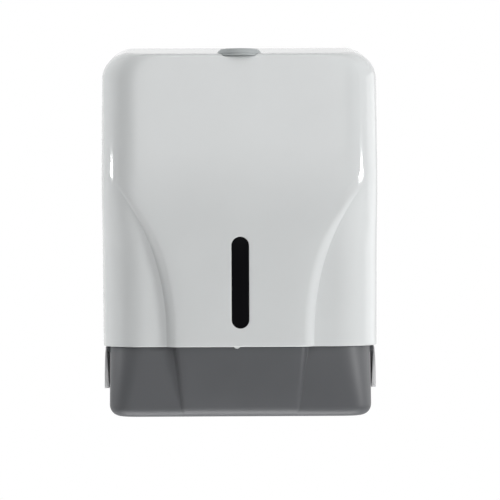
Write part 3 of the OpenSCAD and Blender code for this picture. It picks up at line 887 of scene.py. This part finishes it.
def make_floor():
    """Pale round floor that keeps the shadow and fades to white at its rim."""
    ring = [(FLOOR_R * math.cos(a), FLOOR_R * math.sin(a), 0)
            for a in [2 * math.pi * i / FLOOR_SIDES for i in range(FLOOR_SIDES)]]
    mesh = bpy.data.meshes.new("floor")
    mesh.from_pydata(ring, [], [tuple(range(FLOOR_SIDES))])
    floor = bpy.data.objects.new("floor", mesh)
    floor.location = (0, 0, FLOOR_LEVEL)
    scene.collection.objects.link(floor)
    mat = bpy.data.materials.new("pale_floor")
    mat.use_nodes = True
    tree = mat.node_tree
    tree.nodes.clear()
    out = tree.nodes.new("ShaderNodeOutputMaterial")
    matt = tree.nodes.new("ShaderNodeBsdfDiffuse")
    matt.inputs["Color"].default_value = FLOOR_COLOUR
    white = tree.nodes.new("ShaderNodeEmission")
    place = tree.nodes.new("ShaderNodeTexCoord")
    far = tree.nodes.new("ShaderNodeVectorMath")
    far.operation = "LENGTH"
    tree.links.new(place.outputs["Object"], far.inputs[0])
    fade = tree.nodes.new("ShaderNodeMapRange")
    fade.interpolation_type = "SMOOTHSTEP"
    fade.inputs["From Min"].default_value = FLOOR_FADE[0] * FLOOR_R
    fade.inputs["From Max"].default_value = FLOOR_FADE[1] * FLOOR_R
    tree.links.new(far.outputs["Value"], fade.inputs["Value"])
    share = tree.nodes.new("ShaderNodeMath")
    share.operation = "MULTIPLY"
    tree.links.new(fade.outputs["Result"], share.inputs[0])
    tree.links.new(seen_rays(tree), share.inputs[1])
    mix = tree.nodes.new("ShaderNodeMixShader")
    tree.links.new(share.outputs["Value"], mix.inputs["Fac"])
    tree.links.new(matt.outputs["BSDF"], mix.inputs[1])
    tree.links.new(white.outputs["Emission"], mix.inputs[2])
    tree.links.new(mix.outputs["Shader"], out.inputs["Surface"])
    mesh.materials.append(mat)


def make_lamp(name, azimuth, elevation, distance, width, height, power, role):
    """Area lamp round the object: azimuth to the right of the front, elevation above the level.

    A matt lamp has no mirror image, a shine lamp gives only that, and a graded one is a soft box.
    """
    a, e = math.radians(azimuth), math.radians(elevation)
    way = Vector((math.sin(a) * math.cos(e), -math.cos(a) * math.cos(e), math.sin(e)))
    data = bpy.data.lights.new(name, "AREA")
    data.shape = "RECTANGLE"
    data.size = width
    data.size_y = height
    data.energy = power
    lamp = bpy.data.objects.new(name, data)
    lamp.location = AIM + way * distance
    lamp.rotation_euler = (-way).to_track_quat("-Z", "Y").to_euler()
    lamp.visible_camera = False
    lamp.visible_glossy = role != "matt"
    lamp.visible_diffuse = role != "shine"
    scene.collection.objects.link(lamp)
    if role == "graded":
        grade(data)


def grade(data):
    """Soft box: the lamp fades out towards its lower end and towards both sides."""
    data.use_nodes = True
    tree = data.node_tree
    place = tree.nodes.new("ShaderNodeNewGeometry")
    split = tree.nodes.new("ShaderNodeSeparateXYZ")
    tree.links.new(place.outputs["Parametric"], split.inputs["Vector"])
    rise = tree.nodes.new("ShaderNodeMapRange")
    rise.inputs["From Max"].default_value = GRADE_LOWER
    tree.links.new(split.outputs["Y"], rise.inputs["Value"])
    middle = tree.nodes.new("ShaderNodeMath")
    middle.operation = "PINGPONG"
    middle.inputs[1].default_value = 0.5
    tree.links.new(split.outputs["X"], middle.inputs[0])
    flank = tree.nodes.new("ShaderNodeMapRange")
    flank.interpolation_type = "SMOOTHSTEP"
    flank.inputs["From Max"].default_value = GRADE_SIDES
    tree.links.new(middle.outputs["Value"], flank.inputs["Value"])
    both = tree.nodes.new("ShaderNodeMath")
    both.operation = "MULTIPLY"
    tree.links.new(rise.outputs["Result"], both.inputs[0])
    tree.links.new(flank.outputs["Result"], both.inputs[1])
    tree.links.new(both.outputs["Value"], tree.nodes["Emission"].inputs["Strength"])


def make_camera():
    """Long lens, a little left of the middle and a little below it."""
    data = bpy.data.cameras.new("camera")
    data.sensor_fit = "HORIZONTAL"
    data.angle = 2 * math.atan(HALF_VIEW)
    eye = bpy.data.objects.new("camera", data)
    eye.location = EYE
    eye.rotation_euler = [math.radians(turn) for turn in EYE_TURN]
    scene.collection.objects.link(eye)
    scene.camera = eye


scene.world = make_world()
make_floor()
for lamp_values in LAMPS:
    make_lamp(*lamp_values)
make_camera()
